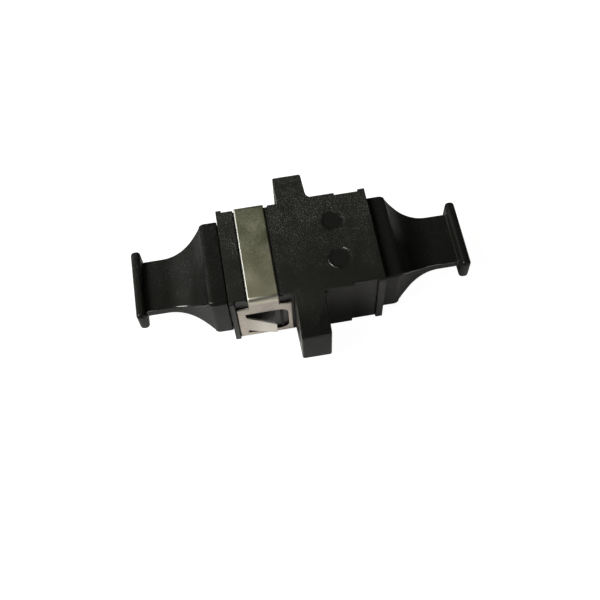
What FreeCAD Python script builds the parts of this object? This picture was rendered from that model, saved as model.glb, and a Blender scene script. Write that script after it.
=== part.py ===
"""Flanged adapter for flat multi-fibre connectors, with its panel clip and two dust caps.

The housing is two black mouldings that meet at the middle of a flange with two screw ears. Between them
sit two hook pieces, back to back, that hold a connector from each side. A folded spring-steel clip goes
over the rear half and holds the adapter in a panel. A pull-off dust cap closes each port.

X runs along the adapter from the rear port to the front port, Z is up and Y crosses the two ears. The
origin is at the middle of the underside of the body. All sizes are millimetres.
"""
import FreeCAD, Part
import os

import Sketcher
from FreeCAD import Rotation, Vector

SIZES = [
    # Housing
    ("body_length", 17.95, "housing from port face to port face"),
    ("port_width", 11.0, "port opening across Y"),
    ("port_height", 7.4, "port opening across Z"),
    ("side_wall", 0.9, "housing's wall on each side of the port"),
    ("top_wall", 0.95, "housing's wall above and below the port"),
    ("body_edge_radius", 0.25, "rounding of the housing's long edges"),
    ("seam_offset", 0.2, "meeting plane of the halves, forward of the middle"),
    ("flange_half_thickness", 1.75, "each half's share of the flange"),
    ("ear_reach", 4.7, "ear from the housing's side to its tip"),
    ("ear_tip_height", 5.5, "height of an ear at its tip"),
    ("ear_tip_radius", 0.35, "rounding of the ear tip's corners"),
    ("ear_root_radius", 0.7, "fillet between the front half's ears and its side wall"),
    ("screw_hole_diameter", 2.2, "clearance hole for an M2 screw"),
    ("screw_hole_from_tip", 2.1, "middle of a screw hole from the ear's tip"),
    ("port_corner_radius", 0.6, "rounding of the port's corners"),
    ("mouth_chamfer", 0.25, "lead-in round the port's mouth"),
    ("key_slot_width", 3.0, "slot for the connector's key"),
    ("key_slot_depth", 0.5, "depth of that slot in the port's wall"),
    ("rear_rim_width", 0.65, "full-width rim at the rear port"),
    ("front_rim_width", 0.8, "full-width rim at the front port"),
    ("side_recess_depth", 0.35, "recess of the side walls behind the rims"),
    ("front_recess_length", 2.9, "length of the front half's side recess"),
    ("top_mark_diameter", 2.8, "round recess in the front half's top"),
    ("top_mark_depth", 0.3, "depth of the round recess"),
    ("top_mark_spacing", 5.1, "distance between the two round recesses"),
    ("top_mark_from_port", 4.52, "middle of the round recesses from the port face"),
    # Hook pieces inside
    ("seat_ledge", 0.4, "how far the hook seat reaches past the port's sides"),
    ("seat_ledge_top", 0.3, "how far the hook seat reaches past the port's top and bottom"),
    ("hook_clearance", 0.05, "gap round a hook plate in its seat"),
    ("hook_plate_thickness", 0.95, "plate of one hook piece"),
    ("window_from_arms", 0.45, "ferrule window's sides from the arms"),
    ("ferrule_window_height", 2.7, "window for the ferrule, across Z"),
    ("arm_reach", 6.2, "hook arm from the meeting plane to its end"),
    ("arm_height", 2.6, "hook arm across Z"),
    ("arm_thickness", 0.7, "hook arm across Y"),
    ("arm_clearance", 0.22, "gap between an arm and the wall of the plug round it"),
    ("hook_depth", 0.5, "how far a hook stands inward of its arm"),
    ("hook_length", 1.3, "length of a hook along its arm"),
    ("hook_crest", 0.35, "flat top of a hook"),
    # Panel clip
    ("sheet_thickness", 0.3, "spring-steel sheet"),
    ("strap_width", 3.55, "strap over the top, along X"),
    ("strap_channel_clearance", 0.15, "gap between the strap's rear edge and its channel"),
    ("strap_channel_front_gap", 0.45, "gap between the strap's front edge and its channel"),
    ("strap_stand", 0.1, "how far the strap stands above the housing's top"),
    ("bend_radius", 0.5, "outer radius of the clip's folds"),
    ("plate_rim_gap", 0.05, "gap between a side plate and the housing's rim"),
    ("plate_flange_gap", 0.3, "gap between a side plate and the flange"),
    ("plate_bottom", 0.6, "side plate's lower edge above the underside"),
    ("shoulder_drop", 1.8, "side plate's shoulders below the housing's top"),
    ("window_from_rear", 1.0, "window from the side plate's rear edge"),
    ("window_from_front", 0.6, "window from the side plate's front edge"),
    ("window_from_shoulder", 1.35, "window from the side plate's shoulders"),
    ("window_rise", 0.8, "window from the side plate's lower edge"),
    ("window_corner_radius", 1.0, "rounding of the window's front corners"),
    ("finger_end_gap", 1.45, "finger's end from the window's front edge"),
    ("finger_slot", 0.9, "finger from the window's upper edge"),
    ("finger_rise", 0.55, "finger from the window's lower edge"),
    ("finger_taper", 0.6, "how much the finger narrows at its upper edge"),
    ("finger_lower_taper", 0.25, "how much the finger narrows at its lower edge"),
    ("finger_corner_radius", 0.3, "rounding of the finger's end corners"),
    ("finger_lift", 1.0, "how far the finger's end stands out from the plate"),
    # Dust caps
    ("cap_gap", 0.14, "gap between a cap's block and the port face"),
    ("plug_clearance", 0.08, "gap between a cap's plug and the port's walls"),
    ("plug_length", 5.5, "plug of a cap, along X"),
    ("plug_wall", 0.75, "wall of the hollow plug"),
    ("plug_corner_radius", 1.3, "rounding of the plug's long edges"),
    ("plug_hollow_depth", 6.5, "hollow of the plug, which runs on into the block"),
    ("block_length", 2.08, "block of a cap, outside the port"),
    ("block_overhang", 0.05, "block larger than the port, each side"),
    ("flare_width_radius", 7.5, "hollow curve of the flare, seen from above"),
    ("flare_height_radius", 5.4, "hollow curve of the flare, seen from the side"),
    ("flare_width_step", 0.1, "flare set in from the block, each side"),
    ("flare_height_step", 0.15, "flare set in from the block, above and below"),
    ("handle_width", 6.75, "thin handle across Y"),
    ("handle_thickness", 1.25, "thin handle across Z"),
    ("handle_length", 7.5, "flare and handle together, from block to cross bar"),
    ("bar_length", 1.15, "cross bar along X"),
    ("bar_width", 8.95, "cross bar across Y"),
    ("bar_height", 3.3, "cross bar across Z"),
    ("bar_edge_radius", 0.45, "rounding of the cross bar's edges"),
]


class Size:
    """A length with its value now and the expression that ties it to the sheet."""

    def __init__(self, value, text):
        self.value = value
        self.text = text

    @staticmethod
    def of(other):
        return other if isinstance(other, Size) else Size(float(other), f"{other}")

    def joined(self, sign, other, value):
        return Size(value, f"({self.text} {sign} {Size.of(other).text})")

    def __add__(self, other):
        return self.joined("+", other, self.value + Size.of(other).value)

    def __sub__(self, other):
        return self.joined("-", other, self.value - Size.of(other).value)

    def __mul__(self, other):
        return self.joined("*", other, self.value * Size.of(other).value)

    def __truediv__(self, other):
        return self.joined("/", other, self.value / Size.of(other).value)

    def __neg__(self):
        return Size(-self.value, f"(-1 * {self.text})")


ZERO = Size(0.0, "0")

# Millimetres within which two places count as one, and by which the port's edges lie inside the outline.
TOUCHING = 0.001
INSIDE_MARGIN = 0.2

doc = FreeCAD.newDocument("fibre_adapter")
sheet = doc.addObject("Spreadsheet::Sheet", "Sizes")


class Sizes:
    """The sheet's named sizes, each as an attribute."""

    def __init__(self, rows):
        for row, (name, value, meaning) in enumerate(rows, start=1):
            sheet.set(f"A{row}", meaning)
            sheet.set(f"B{row}", str(value))
            sheet.setAlias(f"B{row}", name)
            setattr(self, name, Size(float(value), f"Sizes.{name}"))


mm = Sizes(SIZES)
doc.recompute()


def new_body(name):
    body = doc.addObject("PartDesign::Body", name)
    body.Label = name
    return body


def new_sketch(body, name, role, offset=None):
    """A sketch on one of the body's own planes, moved along the plane's normal by offset."""
    sketch = body.newObject("Sketcher::SketchObject", name)
    plane = next(feature for feature in body.Origin.OriginFeatures if feature.Role == role)
    sketch.AttachmentSupport = [(plane, "")]
    sketch.MapMode = "FlatFace"
    if offset is not None:
        sketch.setExpression(".AttachmentOffset.Base.z", offset.text)
    return sketch


def tie(sketch, kind, *where):
    """Adds a constraint whose last argument is a Size, and binds it to the sheet."""
    *places, size = where
    index = sketch.addConstraint(Sketcher.Constraint(kind, *places, size.value))
    sketch.setExpression(f"Constraints[{index}]", size.text)


def tie_point(sketch, edge, end, point):
    tie(sketch, "DistanceX", -1, 1, edge, end, point[0])
    tie(sketch, "DistanceY", -1, 1, edge, end, point[1])


def arc_between(start, end, radius, centre_on_left):
    """The short arc from start to end, and whether it runs clockwise."""
    chord = end - start
    middle = (start + end) / 2
    left = Vector(-chord.y, chord.x, 0).normalize()
    rise = (radius ** 2 - (chord.Length / 2) ** 2) ** 0.5
    centre = middle + left * (rise if centre_on_left else -rise)
    first, last = (start, end) if centre_on_left else (end, start)
    circle = Part.Circle(centre, Vector(0, 0, 1), radius)
    turn = Part.ArcOfCircle(circle, circle.parameter(first), circle.parameter(last))
    return turn, not centre_on_left


def outline(sketch, corners):
    """A closed outline. A corner is (x, y), or (x, y, radius, centre_on_left) where an arc leaves it."""
    places = [Vector(corner[0].value, corner[1].value, 0) for corner in corners]
    ends = []
    for index, corner in enumerate(corners):
        start, end = places[index], places[(index + 1) % len(places)]
        if len(corner) == 2:
            edge = sketch.addGeometry(Part.LineSegment(start, end))
            ends.append((edge, 1, 2))
        else:
            turn, clockwise = arc_between(start, end, corner[2].value, corner[3])
            edge = sketch.addGeometry(turn)
            tie(sketch, "Radius", edge, corner[2])
            ends.append((edge, 2, 1) if clockwise else (edge, 1, 2))
    for index, (edge, first, last) in enumerate(ends):
        following, its_first, _ = ends[(index + 1) % len(ends)]
        sketch.addConstraint(Sketcher.Constraint("Coincident", edge, last, following, its_first))
        tie_point(sketch, edge, first, corners[index])


def rectangle(sketch, low, high):
    outline(sketch, [low, (high[0], low[1]), high, (low[0], high[1])])


def rounded_rectangle(sketch, width, height, middle_height, radius):
    """A rectangle with round corners, centred on Y = 0 at the given height."""
    right, top = width / 2, middle_height + height / 2
    left, bottom = -right, middle_height - height / 2
    outline(sketch, [
        (left + radius, bottom), (right - radius, bottom, radius, True),
        (right, bottom + radius), (right, top - radius, radius, True),
        (right - radius, top), (left + radius, top, radius, True),
        (left, top - radius), (left, bottom + radius, radius, True),
    ])


def circle(sketch, x, y, diameter):
    ring = sketch.addGeometry(Part.Circle(Vector(x.value, y.value, 0), Vector(0, 0, 1), diameter.value / 2))
    tie(sketch, "Diameter", ring, diameter)
    tie_point(sketch, ring, 3, (x, y))


def pad(body, name, sketch, length, symmetric=False):
    feature = body.newObject("PartDesign::Pad", name)
    feature.Profile = sketch
    feature.SideType = "Symmetric" if symmetric else "One side"
    feature.setExpression("Length", length.text)
    doc.recompute()
    return feature


def pocket(body, name, sketch, depth=None, symmetric=False, along_normal=False):
    """Cuts the sketch out, to a depth or right through, and checks that something went."""
    before = body.Shape.Volume
    feature = body.newObject("PartDesign::Pocket", name)
    feature.Profile = sketch
    feature.Type = "ThroughAll" if depth is None else "Length"
    feature.SideType = "Symmetric" if symmetric else "One side"
    feature.Reversed = along_normal
    if depth is not None:
        feature.setExpression("Length", depth.text)
    doc.recompute()
    if body.Shape.Volume >= before:
        raise RuntimeError(f"{name} cuts nothing")
    return feature


def edges_where(body, wanted, skipped):
    """The names of the edges whose two ends both pass the first test but don't both pass the second."""
    names = []
    for number, edge in enumerate(body.Shape.Edges, start=1):
        ends = [vertex.Point for vertex in edge.Vertexes]
        if all(map(wanted, ends)) and not all(map(skipped, ends)):
            names.append(f"Edge{number}")
    return names


def dress(body, kind, name, wanted, size, skipped=lambda p: False):
    """A fillet or chamfer of the body's edges whose ends pass the test."""
    base = body.Tip
    names = edges_where(body, wanted, skipped)
    feature = body.newObject(f"PartDesign::{kind}", name)
    feature.Base = (base, names)
    feature.setExpression("Radius" if kind == "Fillet" else "Size", size.text)
    doc.recompute()
    return feature


def near(value, size):
    return abs(value - size.value) < TOUCHING


half_length = mm.body_length / 2
body_width = mm.port_width + mm.side_wall * 2
body_height = mm.port_height + mm.top_wall * 2
half_width = body_width / 2
middle_height = body_height / 2
wall_recess = half_width - mm.side_recess_depth
rear_rim = half_length - mm.rear_rim_width
front_rim = half_length - mm.front_rim_width
plug_width = mm.port_width - mm.plug_clearance * 2
plug_height = mm.port_height - mm.plug_clearance * 2

# Ends of the clip's side plates along the rear half, measured from the middle of the housing.
plate_rear = rear_rim - mm.plate_rim_gap
plate_front = mm.flange_half_thickness - mm.seam_offset + mm.plate_flange_gap


def housing_shell(body, seam):
    """The solid outside of one housing half: body and share of the flange, square at the seam."""
    shell = new_sketch(body, body.Name + "_shell_outline", "YZ_Plane", seam)
    rounded_rectangle(shell, body_width, body_height, middle_height, mm.body_edge_radius)
    pad(body, body.Name + "_shell", shell, half_length - seam)

    flange = new_sketch(body, body.Name + "_flange_outline", "YZ_Plane", seam)
    tip, half_tip = half_width + mm.ear_reach, mm.ear_tip_height / 2
    low, high = middle_height - half_tip, middle_height + half_tip
    outline(flange, [
        (-half_width, ZERO), (half_width, ZERO), (tip, low), (tip, high),
        (half_width, body_height), (-half_width, body_height), (-tip, high), (-tip, low),
    ])
    pad(body, body.Name + "_flange", flange, mm.flange_half_thickness)

    dress(body, "Fillet", body.Name + "_ear_tips", lambda p: near(abs(p.y), tip), mm.ear_tip_radius,
          skipped=lambda p: near(p.x, seam))


def screw_holes(body, seam):
    holes = new_sketch(body, body.Name + "_screw_hole_circles", "YZ_Plane", seam)
    for side in (-1, 1):
        across = (half_width + mm.ear_reach - mm.screw_hole_from_tip) * side
        circle(holes, across, middle_height, mm.screw_hole_diameter)
    pocket(body, body.Name + "_screw_holes", holes, along_normal=True)


def port(body, seam, key_on_top):
    """The port right through the half, the seat of the hook plate, the key slot and the lead-in."""
    opening = new_sketch(body, body.Name + "_port_outline", "YZ_Plane", seam)
    rounded_rectangle(opening, mm.port_width, mm.port_height, middle_height, mm.port_corner_radius)
    pocket(body, body.Name + "_port", opening, along_normal=True)

    seat = new_sketch(body, body.Name + "_hook_seat_outline", "YZ_Plane", seam)
    seat_half_width = mm.port_width / 2 + mm.seat_ledge
    seat_half_height = mm.port_height / 2 + mm.seat_ledge_top
    rectangle(seat, (-seat_half_width, middle_height - seat_half_height),
              (seat_half_width, middle_height + seat_half_height))
    pocket(body, body.Name + "_hook_seat", seat, mm.hook_plate_thickness + mm.hook_clearance,
           along_normal=True)

    slot = new_sketch(body, body.Name + "_key_slot_outline", "YZ_Plane", seam)
    wall = middle_height + mm.port_height / 2 if key_on_top else middle_height - mm.port_height / 2
    bottom = wall + mm.key_slot_depth if key_on_top else wall - mm.key_slot_depth
    low, high = (middle_height, bottom) if key_on_top else (bottom, middle_height)
    rectangle(slot, (-mm.key_slot_width / 2, low), (mm.key_slot_width / 2, high))
    pocket(body, body.Name + "_key_slot", slot, along_normal=True)

    dress(body, "Chamfer", body.Name + "_lead_in",
          lambda p: near(p.x, half_length) and abs(p.y) < half_width.value - INSIDE_MARGIN and
          INSIDE_MARGIN < p.z < body_height.value - INSIDE_MARGIN,
          mm.mouth_chamfer)


def side_recess(body, start, end):
    """Both side walls set back over their whole height, from start to end along X."""
    recess = new_sketch(body, body.Name + "_side_recess_outline", "XY_Plane", body_height)
    outside = half_width + mm.side_recess_depth
    rectangle(recess, (start, wall_recess), (end, outside))
    rectangle(recess, (start, -outside), (end, -wall_recess))
    pocket(body, body.Name + "_side_recess", recess)


def ear_roots(body, face):
    """Fillets between the ears and the side walls, on the flange's outer face."""
    roots = new_sketch(body, body.Name + "_ear_root_outlines", "XY_Plane", middle_height)
    radius = mm.ear_root_radius
    for side in (-1, 1):
        outline(roots, [
            (face, half_width * side), (face + radius, half_width * side, radius, side < 0),
            (face, (half_width + radius) * side),
        ])
    pad(body, body.Name + "_ear_roots", roots, body_height - mm.body_edge_radius * 2, symmetric=True)


def front_housing():
    body = new_body("front_housing")
    seam = mm.seam_offset
    housing_shell(body, seam)
    ear_roots(body, seam + mm.flange_half_thickness)
    screw_holes(body, seam)
    side_recess(body, front_rim - mm.front_recess_length, front_rim)
    marks = new_sketch(body, "front_top_mark_circles", "XY_Plane", body_height)
    for side in (-1, 1):
        circle(marks, half_length - mm.top_mark_from_port, mm.top_mark_spacing / 2 * side,
               mm.top_mark_diameter)
    pocket(body, "front_top_marks", marks, mm.top_mark_depth)
    port(body, seam, key_on_top=True)
    return body


def strap_channel(body):
    """The channel for the strap, its ends bevelled under the clip's folds."""
    middle = (plate_rear + plate_front) / 2
    start = middle - mm.strap_width / 2 - mm.strap_channel_front_gap
    end = middle + mm.strap_width / 2 + mm.strap_channel_clearance
    floor = body_height - mm.sheet_thickness + mm.strap_stand
    bevel = mm.bend_radius - mm.sheet_thickness
    channel = new_sketch(body, "rear_strap_channel_outline", "YZ_Plane", (start + end) / 2)
    outline(channel, [
        (-half_width, floor - bevel), (-wall_recess, floor - bevel), (-wall_recess + bevel, floor),
        (wall_recess - bevel, floor), (wall_recess, floor - bevel), (half_width, floor - bevel),
        (half_width, body_height), (-half_width, body_height),
    ])
    pocket(body, "rear_strap_channel", channel, end - start, symmetric=True)


def rear_housing():
    """Modelled like the front half, pointing along +X, and turned round at the end."""
    body = new_body("rear_housing")
    seam = -mm.seam_offset
    housing_shell(body, seam)
    screw_holes(body, seam)
    side_recess(body, seam + mm.flange_half_thickness, rear_rim)
    strap_channel(body)
    port(body, seam, key_on_top=False)
    body.Placement = FreeCAD.Placement(Vector(0, 0, 0), Rotation(Vector(0, 0, 1), 180))
    return body


def latch_hooks(name, seam, turned):
    """A plate with a ferrule window and two arms along the port, each with a hook that faces inward."""
    body = new_body(name)
    plate = new_sketch(body, name + "_plate_outline", "YZ_Plane", seam)
    half_plate = mm.port_width / 2 + mm.seat_ledge - mm.hook_clearance
    half_plate_height = mm.port_height / 2 + mm.seat_ledge_top - mm.hook_clearance
    rectangle(plate, (-half_plate, middle_height - half_plate_height),
              (half_plate, middle_height + half_plate_height))
    pad(body, name + "_plate", plate, mm.hook_plate_thickness)

    arms = new_sketch(body, name + "_arm_outlines", "XY_Plane", middle_height)
    end = seam + mm.arm_reach
    arm_outside = plug_width / 2 - mm.plug_wall - mm.arm_clearance
    arm_inside = arm_outside - mm.arm_thickness
    for side in (-1, 1):
        inner = arm_inside * side
        outer = arm_outside * side
        crest = (arm_inside - mm.hook_depth) * side
        outline(arms, [
            (seam, inner), (end - mm.hook_length, inner), (end - mm.hook_length, crest),
            (end - mm.hook_length + mm.hook_crest, crest), (end, inner), (end, outer), (seam, outer),
        ])
    pad(body, name + "_arms", arms, mm.arm_height, symmetric=True)

    window = new_sketch(body, name + "_window_outline", "YZ_Plane", seam)
    half_window = arm_inside - mm.window_from_arms
    rectangle(window, (-half_window, middle_height - mm.ferrule_window_height / 2),
              (half_window, middle_height + mm.ferrule_window_height / 2))
    pocket(body, name + "_window", window, mm.hook_plate_thickness, along_normal=True)
    if turned:
        body.Placement = FreeCAD.Placement(Vector(0, 0, 0), Rotation(Vector(0, 0, 1), 180))
    return body


def panel_clip():
    """One folded sheet: the folded outside first, then its inside, the windows and the two fingers."""
    body = new_body("panel_clip")
    outer, inner = wall_recess + mm.sheet_thickness, wall_recess
    crown = body_height + mm.strap_stand
    inner_radius = mm.bend_radius - mm.sheet_thickness

    middle = (plate_rear + plate_front) / 2
    strap = new_sketch(body, "clip_strap_outline", "YZ_Plane", -middle)
    outline(strap, [
        (-outer, mm.plate_bottom), (outer, mm.plate_bottom),
        (outer, crown - mm.bend_radius, mm.bend_radius, True), (outer - mm.bend_radius, crown),
        (-outer + mm.bend_radius, crown, mm.bend_radius, True), (-outer, crown - mm.bend_radius),
    ])
    pad(body, "clip_strap", strap, mm.strap_width, symmetric=True)

    plates = new_sketch(body, "clip_plate_outline", "XZ_Plane")
    plate_top = body_height - mm.shoulder_drop
    rectangle(plates, (-plate_rear, mm.plate_bottom), (-plate_front, plate_top))
    pad(body, "clip_plates", plates, outer * 2, symmetric=True)

    inside = new_sketch(body, "clip_inside_outline", "YZ_Plane", -middle)
    ceiling = crown - mm.sheet_thickness
    floor = mm.plate_bottom - mm.sheet_thickness
    outline(inside, [
        (-inner, floor), (inner, floor),
        (inner, ceiling - inner_radius, inner_radius, True), (inner - inner_radius, ceiling),
        (-inner + inner_radius, ceiling, inner_radius, True), (-inner, ceiling - inner_radius),
    ])
    pocket(body, "clip_inside", inside, symmetric=True)

    window = new_sketch(body, "clip_window_outline", "XZ_Plane")
    left = mm.window_from_rear - plate_rear
    right = -plate_front - mm.window_from_front
    bottom = mm.plate_bottom + mm.window_rise
    top = plate_top - mm.window_from_shoulder
    radius = mm.window_corner_radius
    outline(window, [
        (left, bottom), (right - radius, bottom, radius, True), (right, bottom + radius),
        (right, top - radius, radius, True), (right - radius, top), (left, top),
    ])
    pocket(body, "clip_windows", window, symmetric=True)

    root_low = bottom + mm.finger_rise
    root_high = top - mm.finger_slot
    fingers = new_sketch(body, "clip_finger_outlines", "XY_Plane", (root_low + root_high) / 2)
    tip = right - mm.finger_end_gap
    for side in (-1, 1):
        outline(fingers, [
            (left - mm.sheet_thickness, inner * side), (left, inner * side),
            (tip, (inner + mm.finger_lift) * side), (tip, (outer + mm.finger_lift) * side),
            (left, outer * side), (left - mm.sheet_thickness, outer * side),
        ])
    pad(body, "clip_fingers", fingers, root_high - root_low, symmetric=True)

    tapers = new_sketch(body, "clip_finger_taper_outlines", "XZ_Plane")
    high, low, corner = root_high - mm.finger_taper, root_low + mm.finger_lower_taper, mm.finger_corner_radius
    outline(tapers, [(left, root_high), (tip - corner, high, corner, False), (tip, high - corner),
                     (tip, root_high)])
    outline(tapers, [(left, root_low), (tip, root_low), (tip, low + corner, corner, False),
                     (tip - corner, low)])
    pocket(body, "clip_finger_tapers", tapers, symmetric=True)
    return body


# Along a cap, measured from the middle of the housing.
block_start = half_length + mm.cap_gap
shoulder = block_start + mm.block_length
handle_end = shoulder + mm.handle_length
bar_end = handle_end + mm.bar_length


def cap_blank(body):
    """Side view of block, flare, handle and cross bar, wider than any of them."""
    side_view = new_sketch(body, body.Name + "_side_outline", "XZ_Plane")
    block = mm.port_height / 2 + mm.block_overhang
    handle, bar = mm.handle_thickness / 2, mm.bar_height / 2
    flare = block - mm.flare_height_step
    reach = flare_reach(flare - handle, mm.flare_height_radius)
    mid = middle_height
    outline(side_view, [
        (block_start, mid - block), (shoulder, mid - block),
        (shoulder, mid - flare, mm.flare_height_radius, False), (shoulder + reach, mid - handle),
        (handle_end, mid - handle), (handle_end, mid - bar), (bar_end, mid - bar), (bar_end, mid + bar),
        (handle_end, mid + bar), (handle_end, mid + handle),
        (shoulder + reach, mid + handle, mm.flare_height_radius, False), (shoulder, mid + flare),
        (shoulder, mid + block), (block_start, mid + block),
    ])
    pad(body, body.Name + "_blank", side_view, mm.port_width + mm.bar_width, symmetric=True)


def flare_reach(drop, radius):
    """How far an arc that ends level runs while it falls by drop."""
    value = (2 * radius.value * drop.value - drop.value ** 2) ** 0.5
    return Size(value, f"sqrt(2 * {radius.text} * {drop.text} - {drop.text} ^ 2)")


def cap_top_view(body):
    """Both sides of the blank cut to the block, flare, handle and cross bar as seen from above."""
    cut = new_sketch(body, body.Name + "_top_outline", "XY_Plane")
    block = mm.port_width / 2 + mm.block_overhang
    handle, bar = mm.handle_width / 2, mm.bar_width / 2
    flare = block - mm.flare_width_step
    reach = flare_reach(flare - handle, mm.flare_width_radius)
    outside = mm.port_width + mm.bar_width
    outline(cut, [
        (block_start, block), (shoulder, block), (shoulder, flare, mm.flare_width_radius, True),
        (shoulder + reach, handle), (handle_end, handle), (handle_end, bar), (bar_end, bar),
        (bar_end, outside), (block_start, outside),
    ])
    outline(cut, [
        (block_start, -outside), (bar_end, -outside), (bar_end, -bar), (handle_end, -bar),
        (handle_end, -handle), (shoulder + reach, -handle, mm.flare_width_radius, True),
        (shoulder, -flare), (shoulder, -block), (block_start, -block),
    ])
    pocket(body, body.Name + "_top_view", cut, symmetric=True)


def dust_cap(name, turned):
    """A hollow plug that slides into the port, and the block, flare, handle and bar that stay outside."""
    body = new_body(name)
    cap_blank(body)
    cap_top_view(body)
    dress(body, "Fillet", name + "_bar_edges",
          lambda p: p.x > handle_end.value - TOUCHING and
          (near(abs(p.y), mm.bar_width / 2) or near(abs(p.z - middle_height.value), mm.bar_height / 2)),
          mm.bar_edge_radius)

    start = block_start - mm.plug_length
    plug = new_sketch(body, name + "_plug_outline", "YZ_Plane", start)
    rounded_rectangle(plug, plug_width, plug_height, middle_height, mm.plug_corner_radius)
    pad(body, name + "_plug", plug, mm.plug_length)

    hollow = new_sketch(body, name + "_hollow_outline", "YZ_Plane", start)
    rounded_rectangle(hollow, plug_width - mm.plug_wall * 2, plug_height - mm.plug_wall * 2, middle_height,
                      mm.plug_corner_radius - mm.plug_wall)
    pocket(body, name + "_hollow", hollow, mm.plug_hollow_depth, along_normal=True)
    if turned:
        body.Placement = FreeCAD.Placement(Vector(0, 0, 0), Rotation(Vector(0, 0, 1), 180))
    return body


parts = [
    rear_housing(),
    front_housing(),
    latch_hooks("rear_latch_hooks", -mm.seam_offset, turned=True),
    latch_hooks("front_latch_hooks", mm.seam_offset, turned=False),
    panel_clip(),
    dust_cap("rear_dust_cap", turned=True),
    dust_cap("front_dust_cap", turned=False),
]
doc.recompute()

for item in doc.Objects:
    if "Invalid" in item.State or "Error" in item.State:
        raise RuntimeError(f"{item.Name} failed: {item.State}")
os.makedirs("parts", exist_ok=True)
for body in parts:
    shape = body.Shape
    if shape.isNull() or not shape.isValid() or len(shape.Solids) != 1:
        raise RuntimeError(f"{body.Label} isn't one valid solid")
    shape.exportStep(os.path.join("parts", body.Label + ".step"))
    box = shape.BoundBox
    print(f"{body.Label}: {shape.Volume:.2f} mm3, X {box.XMin:.2f}..{box.XMax:.2f}, "
          f"Y {box.YMin:.2f}..{box.YMax:.2f}, Z {box.ZMin:.2f}..{box.ZMax:.2f}")
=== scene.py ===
"""Dresses the packed fibre adapter: moulded black halves, a steel panel clip and two dust caps."""
from __future__ import annotations

import logging
import math
from collections.abc import Callable
from dataclasses import dataclass, field
from enum import Enum

import bmesh
import bpy
from mathutils import Matrix, Vector


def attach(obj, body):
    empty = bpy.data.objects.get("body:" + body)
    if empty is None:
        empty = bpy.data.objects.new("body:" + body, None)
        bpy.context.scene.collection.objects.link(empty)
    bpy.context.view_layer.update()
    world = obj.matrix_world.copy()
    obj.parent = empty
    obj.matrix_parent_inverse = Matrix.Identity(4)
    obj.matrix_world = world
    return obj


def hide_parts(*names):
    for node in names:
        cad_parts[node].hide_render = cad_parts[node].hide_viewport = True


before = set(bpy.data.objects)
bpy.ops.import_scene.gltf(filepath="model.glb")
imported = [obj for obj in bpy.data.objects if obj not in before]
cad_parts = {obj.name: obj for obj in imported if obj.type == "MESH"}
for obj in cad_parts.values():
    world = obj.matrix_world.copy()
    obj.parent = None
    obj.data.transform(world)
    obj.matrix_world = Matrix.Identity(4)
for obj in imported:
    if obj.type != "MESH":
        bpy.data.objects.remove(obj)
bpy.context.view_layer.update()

MM = 0.001
LOG = logging.getLogger("fibre_adapter")

# Corners closer than WELD become one, and places closer than NEAR count as the same.
WELD = 0.001 * MM
NEAR = 0.01 * MM
# Edges that turn by more than this are shaded sharp.
CREASE = math.radians(50)
# The bevel profile of a circular arc.
ARC_PROFILE = 0.5

Colour = tuple[float, float, float]
Socket = bpy.types.NodeSocket
EdgeTest = Callable[[bmesh.types.BMEdge], bool]


class Body(Enum):
    """The bodies that move apart from each other."""

    HOUSING = "housing"
    REAR_CAP = "rear_cap"
    FRONT_CAP = "front_cap"


class Slot(Enum):
    """The record's material slots."""

    HOUSING = "housing_plastic"
    HOOKS = "hook_plastic"
    CLIP = "clip_steel"
    CAP = "cap_plastic"


class Along(Enum):
    """The axes of the frame that a finish changes along."""

    Y = 1
    Z = 2


class ClipFinish(Enum):
    """The clip's finishes, in the order in which its mesh holds them."""

    STEEL = 0
    SHEARED_GLINT = 1
    WINDOW_SHADOW = 2


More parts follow.
